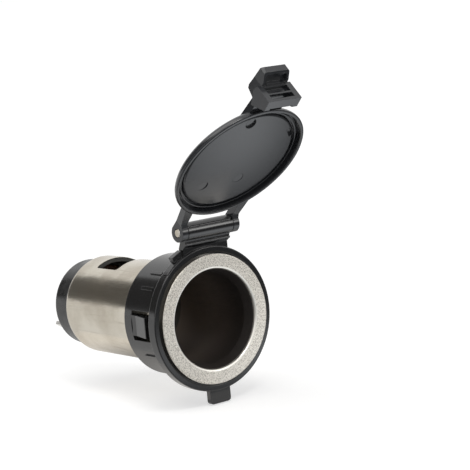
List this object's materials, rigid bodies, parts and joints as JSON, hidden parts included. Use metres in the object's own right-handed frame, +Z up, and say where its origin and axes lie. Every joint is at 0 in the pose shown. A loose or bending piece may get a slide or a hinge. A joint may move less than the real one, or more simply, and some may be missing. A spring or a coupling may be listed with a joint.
{
  "type": "car 12v power socket",
  "caption": "Panel-mounted 12 V socket with a plated steel well, a black bezel and collar, blade terminals and a hinged snap-down cover.",
  "frame": {"origin": "on the socket's axis, in the plane where the bezel's rear face meets the panel", "axes": "+Y along the socket's axis from the mouth to the terminals, +Z up towards the cover's hinge, +X to the right seen from the front"},
  "size_m": [0.0336, 0.09, 0.0776],
  "materials": {
    "plated_steel": "satin nickel plate",
    "black_plastic": "satin moulded",
    "brass": "bright",
    "phenolic": "matt"
  },
  "bodies": {
    "socket": {"socket_shell": "plated_steel", "bezel_collar": "black_plastic", "hinge_pin": "plated_steel", "inner_insulator": "phenolic", "centre_contact": "brass", "rear_insulator": "black_plastic", "centre_rivet": "brass", "centre_terminal": "brass", "side_terminal": "brass", "side_rivet": "plated_steel"},
    "cover": {"cover": "black_plastic"}
  },
  "joints": [
    {"name": "cover_hinge", "type": "hinge", "parent": "socket", "child": "cover", "pos_m": [0, -0.00276, 0.02116], "axis": [-1, 0, 0], "range_deg": [-136, 40]}
  ]
}
